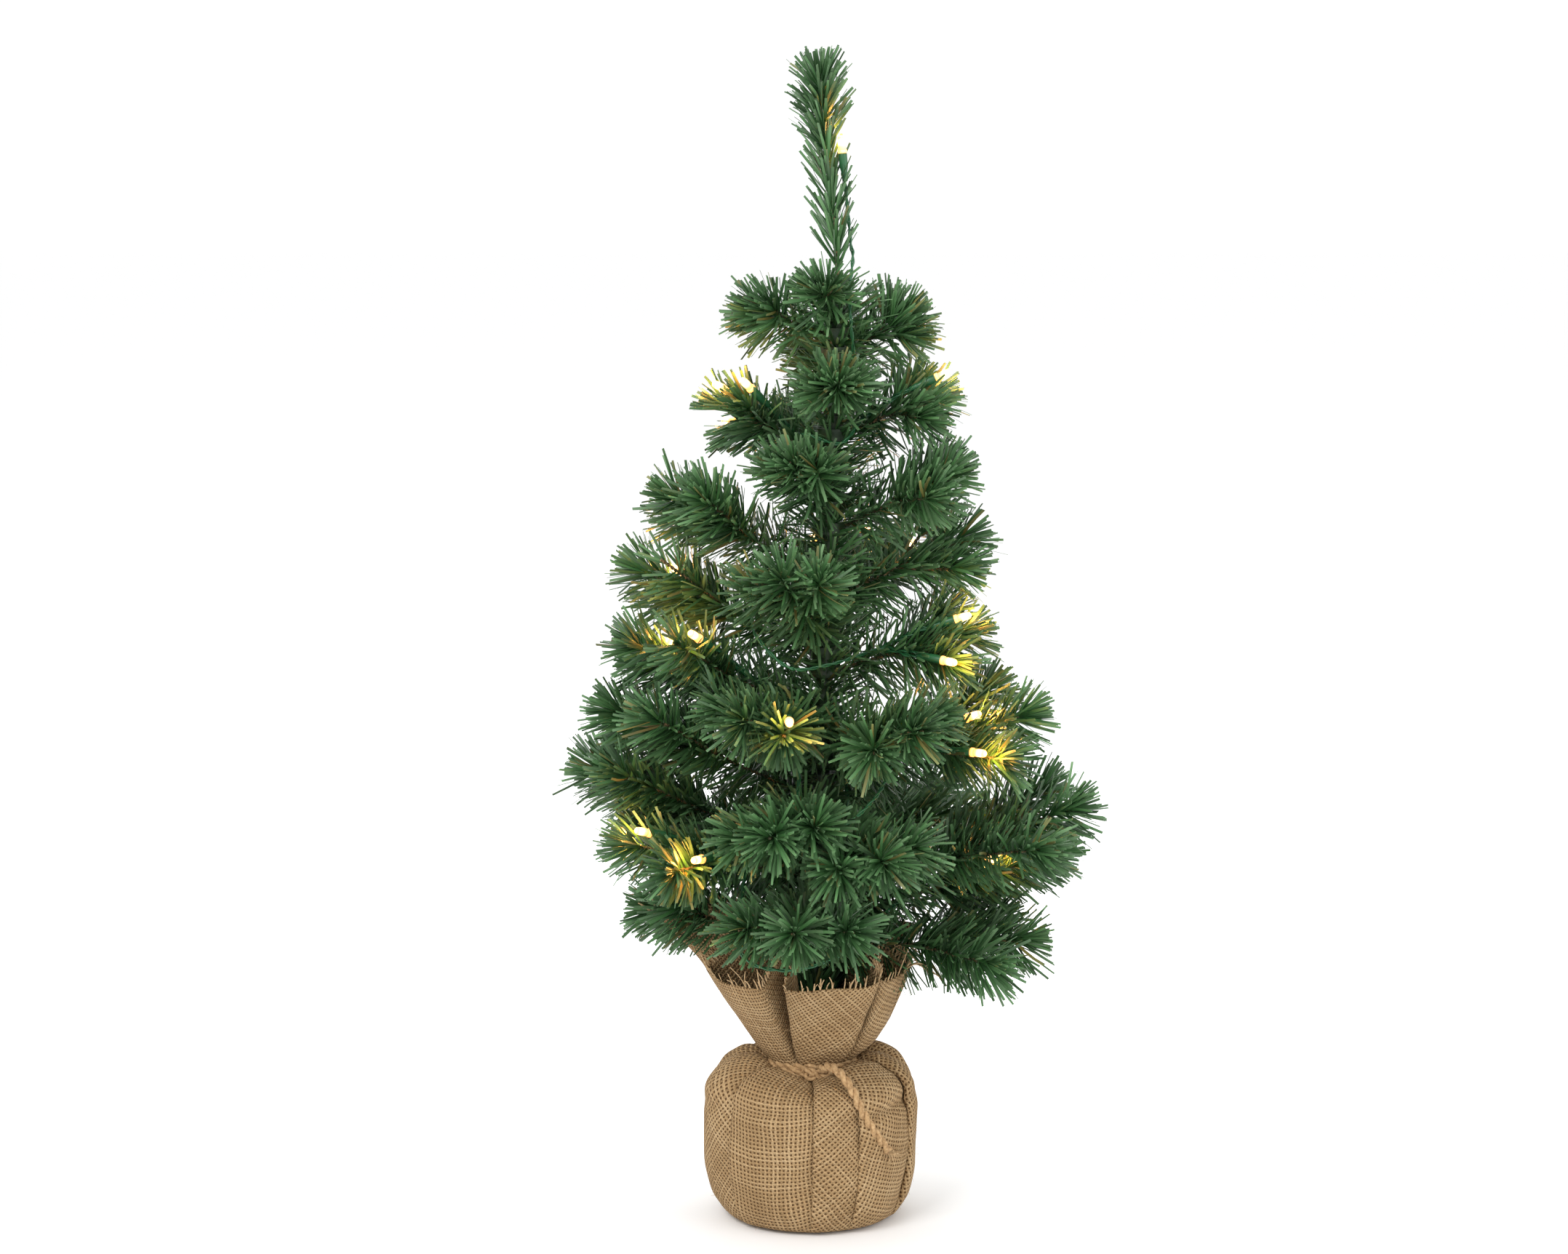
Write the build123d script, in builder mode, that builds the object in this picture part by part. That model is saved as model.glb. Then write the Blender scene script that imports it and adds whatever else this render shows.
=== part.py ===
"""Artificial tabletop tree in a gathered burlap sack, with a battery light string.

Millimetres. +Z is up. The origin is the centre of the sack's flat bottom face, the front of the
tree looks along -Y and +X is on its right. The trunk leans a little to +X.
"""
from build123d import *
from math import sin, cos, tan, radians, atan2, sqrt
import os

# ---------------------------------------------------------------- driving dimensions
TREE_TOP = 750.0          # highest needle end
LEAN = 1.92               # the trunk's lean to +X, degrees
LEAN_FOOT_Z = 100.0       # height at which the trunk's axis crosses the origin's vertical

SACK_R = 66.0             # widest radius of the bag
SACK_FOOT_R = 50.0        # flat bottom
NECK_R = 27.0             # where the tie pulls the cloth in
NECK_Z = 97.0
CLOTH = 2.0               # thickness of the burlap with its folds pressed together

WEIGHT_H = 70.0           # top of the cement above the foot of its thin cup
CUP_H = 74.0
CUP_WALL = 0.8

POLE_R = 3.0              # steel rod
WRAP_R = 5.5              # the tape sleeve round the rod
RING_R = 10.0             # the wound tape where a branch is tied in
RING_H = 7.4
TRUNK_TOP = 604.0

WIRE_R = 1.3              # twisted wire of a branch
NEEDLES_R = 7.0           # the close inner part of the needles round a wire
FORK_AT = 0.40            # where the side wires leave, as a share of the branch's length
SIDE_LENGTH = 0.55        # length of a side wire with its needles, as a share of the same
BARREL_R = 1.8            # the bent root of a branch wire, on the hinge's axis
BARREL_L = 6.0
HINGE_R = 7.0             # distance of that axis from the trunk's

LAMP_R = 2.75             # lamp holder
LAMP_L = 20.0
LENS_R = 2.5
LENS_L = 9.0
STRING_R = 1.2            # the two wires of the light string, side by side

# Each branch: height of its root, azimuth (0 is +X, -90 the front), reach from the trunk's axis to
# the needle ends, lift above level, how far its fan of side wires is turned about the main wire,
# and the half angle of the fan.
BRANCHES = [
    (176, -8, 150, 4, 10, 35),
    (184, 178, 122, 10, 20, 35),
    (192, 12, 180, 15, -12, 30),
    (200, -97, 140, 6, 0, 35),
    (208, -14, 194, 23, 18, 28),
    (216, 132, 138, 10, -10, 35),
    (224, -157, 148, 13.5, -12, 35),
    (232, 52, 150, 13, 10, 35),
    (240, 175, 170, 20, 18, 30),
    (248, -70, 130, 3, 12, 30),
    (256, 95, 140, 16, 0, 35),
    (264, -106, 128, 3, 12, 30),
    (276, -172, 160, 25, 15, 32),
    (288, -4, 152, 19, 30, 35),
    (300, 128, 130, 20, 15, 35),
    (311, -55, 120, 12, 20, 35),
    (322, -122, 115, 10, -15, 35),
    (334, -165, 146, 21, 20, 32),
    (358, -8, 110, 18, 40, 35),
    (370, 170, 146, 24, 30, 32),
    (382, -112, 105, 32, 10, 35),
    (394, 70, 105, 27, 0, 38),
    (406, 10, 112, 24, 38, 35),
    (420, -172, 128, 29, 20, 32),
    (450, -18, 102, 27, 25, 35),
    (466, -115, 80, 30, 0, 36),
    (482, 118, 88, 30, 10, 38),
    (496, 178, 92, 27, 30, 36),
    (510, -5, 84, 24, 40, 38),
    (528, -88, 62, 25, 0, 38),
    (545, 100, 66, 30, 0, 38),
    (562, 0, 66, 30, 55, 38),
    (574, -170, 70, 18, 25, 38),
    (590, -112, 46, 30, 0, 38),
]


# Each lamp: its branch (0 is the leader), which of the branch's wires it lies on (0 is the main
# one), how far out along that wire its holder starts, and its angle round the wire from the top.
LAMPS = [
    (7, 2, 24, 30), (7, 0, 96, 0),
    (3, 1, 26, -30), (3, 0, 96, 10),
    (14, 0, 76, -10), (14, 1, 28, -30),
    (17, 2, 28, 0),
    (18, 0, 78, -10), (18, 2, 30, 30),
    (20, 0, 80, -15),
    (19, 1, 22, -30), (19, 0, 66, -20),
    (22, 0, 60, 0), (22, 1, 22, -30), (22, 2, 22, 30),
    (28, 0, 54, 0), (28, 1, 18, -50), (28, 2, 18, 50),
    (29, 0, 50, -20),
    (0, 0, 62, -90),
]


# ---------------------------------------------------------------- vectors
def trunk_x(z):
    return (z - LEAN_FOOT_Z) * tan(radians(LEAN))


def shift(a, b, k=1.0):
    return (a[0] + k * b[0], a[1] + k * b[1], a[2] + k * b[2])


def mix(a, b, angle):
    c, s = cos(radians(angle)), sin(radians(angle))
    return (c * a[0] + s * b[0], c * a[1] + s * b[1], c * a[2] + s * b[2])


def dist(a, b):
    return sqrt(sum((a[i] - b[i]) ** 2 for i in range(3)))


LEADER_Z = 607.0
LEADER_TILT = -5.4        # the leader bends back to -X
LEADER_REACH = (TREE_TOP - LEADER_Z) / cos(radians(LEADER_TILT)) - 0.4


def hinge_point(branch):
    h, az = branch[0], radians(branch[1])
    return (trunk_x(h) + HINGE_R * cos(az), HINGE_R * sin(az), h)


def along(branch):
    """Direction of the main wire, the level crosswise direction, and the one above the wire."""
    az, lift = radians(branch[1]), radians(branch[3])
    d = (cos(lift) * cos(az), cos(lift) * sin(az), sin(lift))
    t = (-sin(az), cos(az), 0.0)
    n = (-sin(lift) * cos(az), -sin(lift) * sin(az), cos(lift))
    return d, t, n


def wires(branch):
    """Each wire of a branch: start, direction, its needles' start and end, and its upper side."""
    reach = branch[2] - HINGE_R
    d, t, n = along(branch)
    root = hinge_point(branch)
    side, up = mix(t, n, branch[4]), mix(n, t, -branch[4])
    fork = shift(root, d, FORK_AT * reach)
    first = 15.0
    runs = [(root, d, FORK_AT * reach + first, reach, n)]
    for k in (-1, 1):
        runs.append((fork, mix(d, side, k * branch[5]), first, SIDE_LENGTH * reach, up))
    return runs


def leader_wire():
    a = radians(LEADER_TILT)
    d = (sin(a), 0.0, cos(a))
    return (trunk_x(LEADER_Z), 0.0, LEADER_Z), d, 16.0, LEADER_REACH, (0.0, -1.0, 0.0)


def cross(a, b):
    return (a[1] * b[2] - a[2] * b[1], a[2] * b[0] - a[0] * b[2], a[0] * b[1] - a[1] * b[0])


def lamp_place(lamp):
    """A lamp's wire end, the way it points and the direction from its branch's wire to it."""
    b, w, s, angle = lamp
    start, d, a, e, up = leader_wire() if b == 0 else wires(BRANCHES[b - 1])[w]
    u = mix(up, cross(up, d), angle)
    return shift(shift(start, d, s), u, NEEDLES_R + LAMP_R + 0.15), d, u


# ---------------------------------------------------------------- solids
os.makedirs("parts", exist_ok=True)
TRUNK_DIR = (sin(radians(LEAN)), 0.0, cos(radians(LEAN)))
UP = (0.0, 0.0, 1.0)


def across(direction):
    """A level direction at right angles to this one."""
    if abs(direction[2]) > 0.999:
        return (1.0, 0.0, 0.0)
    n = sqrt(direction[0] ** 2 + direction[1] ** 2)
    return (-direction[1] / n, direction[0] / n, 0.0)


def rod(point, direction, radius, length, mode=Mode.ADD):
    """A plain cylinder, in the part being built."""
    with BuildSketch(Plane(origin=point, x_dir=across(direction), z_dir=direction)) as disc:
        Circle(radius)
    extrude(disc.sketch, amount=length, mode=mode)


def turned(point, direction, outline, mode=Mode.ADD):
    """A turned shape, in the part being built: outline is (radius, distance along the axis)."""
    x = across(direction)
    with BuildSketch(Plane(origin=point, x_dir=x, z_dir=cross(x, direction))) as half:
        with BuildLine():
            Polyline(*outline, close=True)
        make_face()
    revolve(half.sketch, axis=Axis(point, direction), mode=mode)


def cord(points, radius, bend):
    """A tube along straight runs joined by tangent arcs, in the part being built."""
    keep = [points[0]]
    for i in range(1, len(points) - 1):
        a, b, c = keep[-1], points[i], points[i + 1]
        u = [(b[k] - a[k]) / dist(a, b) for k in range(3)]
        v = [(c[k] - b[k]) / dist(b, c) for k in range(3)]
        if sum(u[k] * v[k] for k in range(3)) < 0.9995:
            keep.append(b)
    keep.append(points[-1])
    radii = []
    for a, b, c in zip(keep, keep[1:], keep[2:]):
        u = [(b[k] - a[k]) / dist(a, b) for k in range(3)]
        v = [(c[k] - b[k]) / dist(b, c) for k in range(3)]
        turn = max(-1.0, min(1.0, sum(u[k] * v[k] for k in range(3))))
        half = tan(0.5 * atan2(sqrt(1 - turn * turn), turn))
        radii.append(min(bend, 0.45 * min(dist(a, b), dist(b, c)) / half))
    with BuildLine() as line:
        if radii:
            FilletPolyline(*keep, radius=radii)
        else:
            Line(keep[0], keep[1])
    start = line.wire().position_at(0)
    run = line.wire().tangent_at(0)
    with BuildSketch(Plane(origin=start, z_dir=run)) as section:
        Circle(radius)
    sweep(section.sketch, path=line.wire())
    return min(radii or [bend]), line.wire().length


def save(part, name):
    part.label = name
    export_step(part, f"parts/{name}.step")


# The weight: a thin cup of cement that fills the bottom of the sack.
CUP_FOOT_R, CUP_TOP_R = SACK_FOOT_R - 4.0, SACK_R - 6.0
CUP_Z = CLOTH
with BuildPart() as weight_cup:
    turned((0, 0, CUP_Z), UP, [
        (0, 0), (CUP_FOOT_R, 0), (CUP_TOP_R, CUP_H), (CUP_TOP_R - CUP_WALL, CUP_H),
        (CUP_FOOT_R - CUP_WALL, CUP_WALL), (0, CUP_WALL)])
save(weight_cup.part, "weight_cup")

CEMENT_TOP = WEIGHT_H
rise = CUP_TOP_R - CUP_FOOT_R
cement_top_r = CUP_FOOT_R - CUP_WALL + rise * (CEMENT_TOP - CUP_WALL) / (CUP_H - CUP_WALL)
with BuildPart() as cement_weight:
    turned((0, 0, CUP_Z), UP, [
        (0, CUP_WALL), (CUP_FOOT_R - CUP_WALL, CUP_WALL), (cement_top_r, CEMENT_TOP),
        (0, CEMENT_TOP)])
    rod((trunk_x(12), 0, 12), TRUNK_DIR, POLE_R, 100, mode=Mode.SUBTRACT)
save(cement_weight.part, "cement_weight")

# The trunk: a steel rod in a sleeve of wound tape, with a thicker ring where each branch is tied in.
POLE_LENGTH = (TRUNK_TOP - 5 - 12) / cos(radians(LEAN))
with BuildPart() as trunk_pole:
    rod((trunk_x(12), 0, 12), TRUNK_DIR, POLE_R, POLE_LENGTH)
save(trunk_pole.part, "trunk_pole")

WRAP_FOOT = CUP_Z + CUP_H + 6
SLOT_W = 2 * WIRE_R + 0.8
with BuildPart() as trunk_wrap:
    foot = (trunk_x(WRAP_FOOT), 0, WRAP_FOOT)
    rod(foot, TRUNK_DIR, WRAP_R, (TRUNK_TOP - WRAP_FOOT) / TRUNK_DIR[2])
    for branch in BRANCHES:
        z = branch[0] - RING_H / 2
        rod((trunk_x(branch[0]), 0, z), UP, RING_R, RING_H)
    rod((trunk_x(LEADER_Z), 0, LEADER_Z - 7), UP, 8.5, 11)
    for branch in BRANCHES:
        d, t, n = along(branch)
        c = hinge_point(branch)
        out = (cos(radians(branch[1])), sin(radians(branch[1])), 0.0)
        rod(shift(c, t, -BARREL_L / 2 - 0.2), t, BARREL_R + 0.25, BARREL_L + 0.4, mode=Mode.SUBTRACT)
        with BuildSketch(Plane(origin=c, x_dir=t, z_dir=out)):
            Rectangle(SLOT_W, RING_H + 0.4)
        extrude(amount=8, mode=Mode.SUBTRACT)
    c = (trunk_x(LEADER_Z), 0, LEADER_Z)
    rod((c[0], -BARREL_L / 2 - 0.2, c[2]), (0, 1, 0), BARREL_R + 0.25, BARREL_L + 0.4,
        mode=Mode.SUBTRACT)
    with BuildSketch(Plane(origin=c, x_dir=(1, 0, 0), z_dir=UP)):
        Rectangle(40, SLOT_W + 0.8)
    extrude(amount=8, mode=Mode.SUBTRACT)
    rod((trunk_x(12), 0, 12), TRUNK_DIR, POLE_R, POLE_LENGTH, mode=Mode.SUBTRACT)
save(trunk_wrap.part, "trunk_wrap")

# The sack: one square of burlap, gathered round the weight, tied at the neck and flared above.
NECK = NECK_R - 3
RIM_Z = 168.0
outside = [
    (0, 0), (SACK_FOOT_R, 0), (SACK_R - 8, 12), (SACK_R - 1.5, 36), (SACK_R, 58), (SACK_R - 1.5, 80),
    (SACK_R - 9, 97), (44, 104), (33, NECK_Z), (NECK + 2, NECK_Z - 3), (NECK, NECK_Z + 1),
    (NECK + 1.5, NECK_Z + 6), (44, 125), (60, 150), (72, RIM_Z)]
inside = [
    (70, RIM_Z), (58.2, 151), (42.2, 126), (NECK - 0.4, NECK_Z + 7), (NECK - 2, NECK_Z + 1.3),
    (NECK - 0.5, NECK_Z - 5), (33.5, NECK_Z - 2.3), (44, 101.8), (SACK_R - 10.2, 95.4),
    (SACK_R - 3.5, 79.5), (SACK_R - 2, 58), (SACK_R - 3.5, 36.5), (SACK_R - 9.8, 13), (48.5, CLOTH),
    (0, CLOTH)]
with BuildPart() as burlap_sack:
    turned((0, 0, 0), UP, outside + inside)
save(burlap_sack.part, "burlap_sack")

# The tie: twine round the neck, its knot in front, and one loose end over the bag.
TWINE_R = 2.6
KNOT = (5.0, -30.6, 101.0)
with BuildPart() as jute_tie:
    with BuildSketch(Plane(origin=(0, 0, NECK_Z + 1.5), x_dir=(1, 0, 0), z_dir=(0, -1, 0))):
        with Locations((NECK_R, 0)):
            Circle(TWINE_R)
    revolve(axis=Axis((0, 0, 0), UP))
    with Locations(KNOT):
        Sphere(4.0)
save(jute_tie.part, "jute_tie")

TAIL = [
    (6.6, -34.2, 103.8), (10, -41.5, 108.5), (17, -51, 107.5), (25.5, -58.5, 98), (31.5, -61, 84),
    (40, -57.2, 68), (49.5, -49.8, 54)]
with BuildPart() as jute_tail:
    tail_bend, tail_length = cord(TAIL, TWINE_R, 12)
save(jute_tail.part, "jute_tail")
print(f"tail: {tail_length:.1f} mm, least bend {tail_bend:.1f}")

# The battery pack, tucked into the flare behind the trunk, leaning out with the cloth.
PACK = (0.0, 40.0, 160.0)
PACK_U = (0.0, 0.5, cos(radians(30)))      # up along the pack, the way its door slides
PACK_N = (0.0, cos(radians(30)), -0.5)     # out of its door
PACK_X = (1.0, 0.0, 0.0)
PACK_W, PACK_L, PACK_T = 50.0, 72.0, 19.0
CELL_R, CELL_L = 7.1, 50.3


def on_pack(x, u, n):
    return shift(shift(shift(PACK, PACK_X, x), PACK_U, u), PACK_N, n)


def pack_box(x, u, n, mode=Mode.ADD):
    """A block in the pack's own directions: its span across, along and through."""
    corner = on_pack((x[0] + x[1]) / 2, (u[0] + u[1]) / 2, n[0])
    with BuildSketch(Plane(origin=corner, x_dir=PACK_X, z_dir=PACK_N)) as block:
        Rectangle(x[1] - x[0], u[1] - u[0])
    extrude(block.sketch, amount=n[1] - n[0], mode=mode)


HW, HL, HT = PACK_W / 2, PACK_L / 2, PACK_T / 2
with BuildPart() as battery_case:
    pack_box((-HW, HW), (-HL, HL), (-HT, HT))
    pack_box((-22.2, 22.2), (-22.0, 34.4), (-HT + 1.6, 7.0), mode=Mode.SUBTRACT)
    pack_box((-23.4, 23.4), (-22.6, HL + 1), (7.0, 8.8), mode=Mode.SUBTRACT)
    pack_box((-21.4, 21.4), (-21.0, HL + 1), (8.8, HT + 1), mode=Mode.SUBTRACT)
    pack_box((-22.2, 22.2), (-34.4, -23.6), (-HT + 1.6, 7.9), mode=Mode.SUBTRACT)
    pack_box((-4.2, 4.2), (-30.5, -27.5), (7.9, HT + 1), mode=Mode.SUBTRACT)
    rod(on_pack(15, -HL - 1, 0), PACK_U, 1.6, 5, mode=Mode.SUBTRACT)
save(battery_case.part, "battery_case")

with BuildPart() as battery_cells:
    for k in (-1, 0, 1):
        turned(on_pack(k * 14.4, -18.6, -0.6), PACK_U, [
            (0, 0), (CELL_R, 0), (CELL_R, CELL_L - 1.4), (2.7, CELL_L - 1.4), (2.7, CELL_L),
            (0, CELL_L)])
save(battery_cells.part, "battery_cells")

with BuildPart() as battery_contacts:
    for k in (-1, 0, 1):
        rod(on_pack(k * 14.4, -22.0, -0.6), PACK_U, 3.2, 3.4)
        x = k * 14.4
        pack_box((x - 5, x + 5), (31.7, 32.2), (-5.6, 4.4))
        pack_box((x - 1, x + 1), (32.2, 34.4), (-5.6, -4.6))
save(battery_contacts.part, "battery_contacts")

DOOR_TOP = HL - 0.4
with BuildPart() as battery_door:
    pack_box((-23.2, 23.2), (-22.3, DOOR_TOP), (7.2, 8.6))
    pack_box((-21.1, 21.1), (-20.7, DOOR_TOP), (8.6, HT))
    for k in (-2, -1, 0, 1, 2):
        pack_box((-8, 8), (20 + 3 * k, 21.2 + 3 * k), (HT, HT + 0.6))
save(battery_door.part, "battery_door")

with BuildPart() as switch_slider:
    pack_box((-2, 2), (-30.2, -27.8), (6.6, HT + 1.6))
    pack_box((-6, 6), (-32, -26), (6.4, 7.6))
save(switch_slider.part, "switch_slider")

with BuildPart() as timer_board:
    pack_box((-20, 20), (-33.5, -24.5), (-7.9, -6.3))
    pack_box((-14, -6), (-32, -26), (-6.3, -3.5))
    pack_box((4, 9), (-31, -27), (-6.3, -4.6))
    rod(on_pack(13, -29, -6.3), PACK_N, 2.2, 6)
save(timer_board.part, "timer_board")


# The branches and the leader: the needles and the wire they are caught in are one solid from where
# the needles grow close, and the bare inner wire with its bent root is another.
GAP = 0.05                # between a wire's bare end and the solid that its needles are


def needles(start, d, first, last):
    length = last - first
    if length < 34:         # a short wire's needles never spread to the full width
        wide = 3.2 + 0.11 * length
        turned(shift(start, d, first), d, [
            (0, 0), (3.2, 0), (wide, 0.5 * length), (wide, 0.8 * length), (2.6, length),
            (0, length)])
    else:
        turned(shift(start, d, first), d, [
            (0, 0), (3.2, 0), (NEEDLES_R - 0.4, 12), (NEEDLES_R, 16), (NEEDLES_R, length - 14),
            (NEEDLES_R - 1, length - 4), (3.5, length), (0, length)])


for number, branch in enumerate(BRANCHES, 1):
    d, t, n = along(branch)
    root = hinge_point(branch)
    runs = wires(branch)
    with BuildPart() as limb:
        rod(shift(root, t, -BARREL_L / 2), t, BARREL_R, BARREL_L)
        rod(root, d, WIRE_R, runs[0][2])
        for start, along_wire, first, last, up in runs[1:]:
            rod(start, along_wire, WIRE_R, first)
        for start, along_wire, first, last, up in runs:
            needles(start, along_wire, first + GAP, last)
    save(limb.part, f"branch_{number:02d}")

start, d, first, last, up = leader_wire()
with BuildPart() as leader:
    rod((start[0], -BARREL_L / 2, start[2]), (0, 1, 0), BARREL_R, BARREL_L)
    rod(start, d, WIRE_R, first)
    needles(start, d, first + GAP, last)
save(leader.part, "leader")

# The lamps: a holder with a clear collar and the diode's lens in it.
for number in sorted({lamp[0] for lamp in LAMPS}):
    with BuildPart() as lamps:
        for lamp in LAMPS:
            if lamp[0] == number:
                p, d, u = lamp_place(lamp)
                turned(p, d, [(0, 0), (1.7, 0), (2.2, 3), (LAMP_R, 9), (LAMP_R, LAMP_L),
                              (0, LAMP_L)])
                turned(shift(p, d, LAMP_L), d, [
                    (0, 0), (LENS_R, 0), (LENS_R, LENS_L - 2.5), (1.8, LENS_L - 0.8),
                    (0.6, LENS_L), (0, LENS_L)])
    save(lamps.part, "leader_lamp" if number == 0 else f"lamps_{number:02d}")

# The light string: it runs from lamp to lamp, in along one branch, round the trunk and out along
# the next. Where a span goes round the trunk it passes a point: azimuth, distance, height.
ROUND_THE_TRUNK = {
    (7, 3): (-90, 18, 220), (3, 14): (-20, 18, 270), (14, 17): (-40, 18, 317),
    (17, 18): (-140, 18, 339), (18, 20): (160, 22, 368), (20, 19): (-80, 18, 372),
    (19, 22): (10, 18, 372), (22, 28): (160, 18, 490), (28, 29): (-140, 18, 516),
    (29, 0): (-70, 22, 590),
}
OUT, IN = 1, -1


def string_end(lamp, way):
    """The string's points from a lamp inward: its wire end, the needles' start, and the fork."""
    p, d, u = lamp_place(lamp)
    w = cross(u, d)
    if lamp[0] == 0:
        return [shift(shift(p, d, -0.4), w, 1.4 * way), shift(shift(p, d, -45), w, 1.4 * way)]
    branch = BRANCHES[lamp[0] - 1]
    start, along_wire, first, last, up = wires(branch)[lamp[1]]
    points = [shift(shift(p, d, -0.4), w, 1.4 * way)]
    if lamp[2] > first + 9:
        points.append(shift(shift(shift(start, d, first - 2), u, NEEDLES_R + 2), w, 1.4 * way))
    reach = branch[2] - HINGE_R
    main, t, n = along(branch)
    root = hinge_point(branch)
    s = min(FORK_AT * reach - 7, lamp[2] - 9) if lamp[1] == 0 else FORK_AT * reach - 7
    points.append(shift(shift(shift(root, main, s), n, 5.5), t, 3.2 * way))
    return points


def string_root(number, way):
    branch = BRANCHES[number - 1]
    main, t, n = along(branch)
    root = hinge_point(branch)
    return shift(shift(shift(root, main, 14), n, 5.0), t, 3.0 * way)


STRING_POINTS = []
for a, b in zip(LAMPS, LAMPS[1:]):
    go, come = string_end(a, OUT), string_end(b, IN)
    if a[0] == b[0]:
        points = go[:-1] + [shift(go[-1], shift(come[-1], go[-1], -1), 0.5)] + come[-2::-1]
    else:
        az, r, z = ROUND_THE_TRUNK[(a[0], b[0])]
        mid = (trunk_x(z) + r * cos(radians(az)), r * sin(radians(az)), z)
        points = go + [string_root(a[0], OUT), mid]
        if b[0]:
            points.append(string_root(b[0], IN))
        points += come[::-1]
    STRING_POINTS.append(points)

with BuildPart() as light_wire:
    bends = []
    for points in STRING_POINTS:
        bend, length = cord(points, STRING_R, 8)
        bends.append(bend)
print(f"light string: least bend {min(bends):.1f}")
save(light_wire.part, "light_wire")
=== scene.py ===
"""Looks for the artificial tabletop tree: needles, twisted wires, lamps, light string and burlap."""
from math import sin, cos, tan, radians, pi

import bpy
import numpy as np
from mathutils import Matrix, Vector


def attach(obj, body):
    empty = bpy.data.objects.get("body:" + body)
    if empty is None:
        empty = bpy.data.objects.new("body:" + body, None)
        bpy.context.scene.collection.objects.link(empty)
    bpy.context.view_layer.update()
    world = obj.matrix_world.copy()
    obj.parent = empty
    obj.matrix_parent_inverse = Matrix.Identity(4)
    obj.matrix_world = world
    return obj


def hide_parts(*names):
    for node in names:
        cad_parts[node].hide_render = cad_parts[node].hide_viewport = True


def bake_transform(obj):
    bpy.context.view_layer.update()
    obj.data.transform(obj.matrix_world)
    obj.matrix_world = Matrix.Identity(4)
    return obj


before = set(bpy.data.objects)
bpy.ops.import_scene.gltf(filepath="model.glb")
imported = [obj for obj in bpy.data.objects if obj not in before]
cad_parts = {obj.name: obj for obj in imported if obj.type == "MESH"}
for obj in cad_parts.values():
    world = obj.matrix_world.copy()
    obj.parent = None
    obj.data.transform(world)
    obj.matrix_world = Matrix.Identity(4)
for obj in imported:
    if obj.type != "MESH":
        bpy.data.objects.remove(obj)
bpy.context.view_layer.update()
rng = np.random.default_rng(7)
scene = bpy.context.scene
MM = 0.001                # metres in a millimetre
EVEN = (0.5, 0.5, 0.5, 1)  # the tone of a piece that has the same one all over

# ---------------------------------------------------------------- camera
AIM = Vector((-0.0176, 0.0, 0.386))
DISTANCE, ELEVATION = 2.215, radians(7.5)
cam_data = bpy.data.cameras.new("camera")
cam = bpy.data.objects.new("camera", cam_data)
scene.collection.objects.link(cam)
cam.location = AIM + DISTANCE * Vector((0, -cos(ELEVATION), sin(ELEVATION)))
cam.rotation_euler = (AIM - cam.location).to_track_quat("-Z", "Y").to_euler()
cam_data.lens = 79.2
cam_data.clip_end = 30
scene.camera = cam


# ---------------------------------------------------------------- shader helpers
def new_material(name):
    m = bpy.data.materials.new(name)
    m.use_nodes = True
    nt = m.node_tree
    return m, nt, nt.nodes["Principled BSDF"]


def node(nt, kind, values=(), **props):
    n = nt.nodes.new(kind)
    for k, v in props.items():
        setattr(n, k, v)
    for k, v in dict(values).items():
        n.inputs[k].default_value = v
    return n


def link(nt, a, b):
    nt.links.new(a, b)


def math(nt, op, a, b=None, c=None):
    n = nt.nodes.new("ShaderNodeMath")
    n.operation = op
    for i, v in enumerate((a, b, c)):
        if v is None:
            continue
        if isinstance(v, (int, float)):
            n.inputs[i].default_value = v
        else:
            link(nt, v, n.inputs[i])
    return n.outputs[0]


def ramp(nt, fac, stops):
    n = nt.nodes.new("ShaderNodeValToRGB")
    link(nt, fac, n.inputs[0])
    el = n.color_ramp.elements
    while len(el) < len(stops):
        el.new(0.5)
    for e, (pos, col) in zip(el, stops):
        e.position = pos
        e.color = (*col, 1)
    return n.outputs[0]


def noise(nt, scale, detail=3.0, vector=None):
    n = node(nt, "ShaderNodeTexNoise", {"Scale": scale, "Detail": detail})
    if vector is None:
        vector = nt.nodes.new("ShaderNodeTexCoord").outputs["Object"]
    link(nt, vector, n.inputs["Vector"])
    return n.outputs["Fac"]


def bump(nt, bsdf, height, strength=0.5, distance=0.0004):
    b = node(nt, "ShaderNodeBump", {"Strength": strength, "Distance": distance})
    link(nt, height, b.inputs["Height"])
    link(nt, b.outputs[0], bsdf.inputs["Normal"])


def plain(name, color, rough=0.5, scale=900, strength=0.15, metallic=0.0, vary=0.12):
    """A surface with fine grain and slight changes of tone."""
    m, nt, b = new_material(name)
    f = noise(nt, scale * 0.15)
    dark = tuple(c * (1 - vary) for c in color)
    lite = tuple(min(1, c * (1 + vary)) for c in color)
    link(nt, ramp(nt, f, [(0.3, dark), (0.7, lite)]), b.inputs["Base Color"])
    b.inputs["Roughness"].default_value = rough
    b.inputs["Metallic"].default_value = metallic
    bump(nt, b, noise(nt, scale), strength, 0.0001)
    return m


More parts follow.
